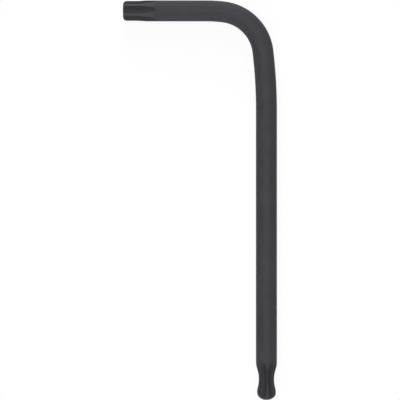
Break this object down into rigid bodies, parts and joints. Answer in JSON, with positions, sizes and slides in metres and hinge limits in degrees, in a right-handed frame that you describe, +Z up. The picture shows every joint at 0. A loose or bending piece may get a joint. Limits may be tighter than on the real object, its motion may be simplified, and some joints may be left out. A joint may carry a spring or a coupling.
{
  "type": "star key",
  "caption": "L-shaped hand key of round steel bar with a six-lobed star tip on the short arm and a six-lobed ball tip on the long arm, for turning star-recess screws.",
  "frame": {"origin": "under the middle of the key's outline, on the surface that it lies on", "axes": "+Z up out of the surface, +Y from the ball tip along the long arm towards the short arm, +X from the star tip along the short arm towards the long arm"},
  "size_m": [0.0514, 0.1332, 0.007],
  "materials": {
    "black_steel": "alloy steel, black phosphate, oiled, matte dark grey"
  },
  "bodies": {
    "root": {"star_tip": "black_steel", "short_arm": "black_steel", "bend_lead_in": "black_steel", "bend": "black_steel", "bend_lead_out": "black_steel", "long_arm": "black_steel", "ball_neck": "black_steel", "ball_tip": "black_steel"}
  },
  "joints": []
}
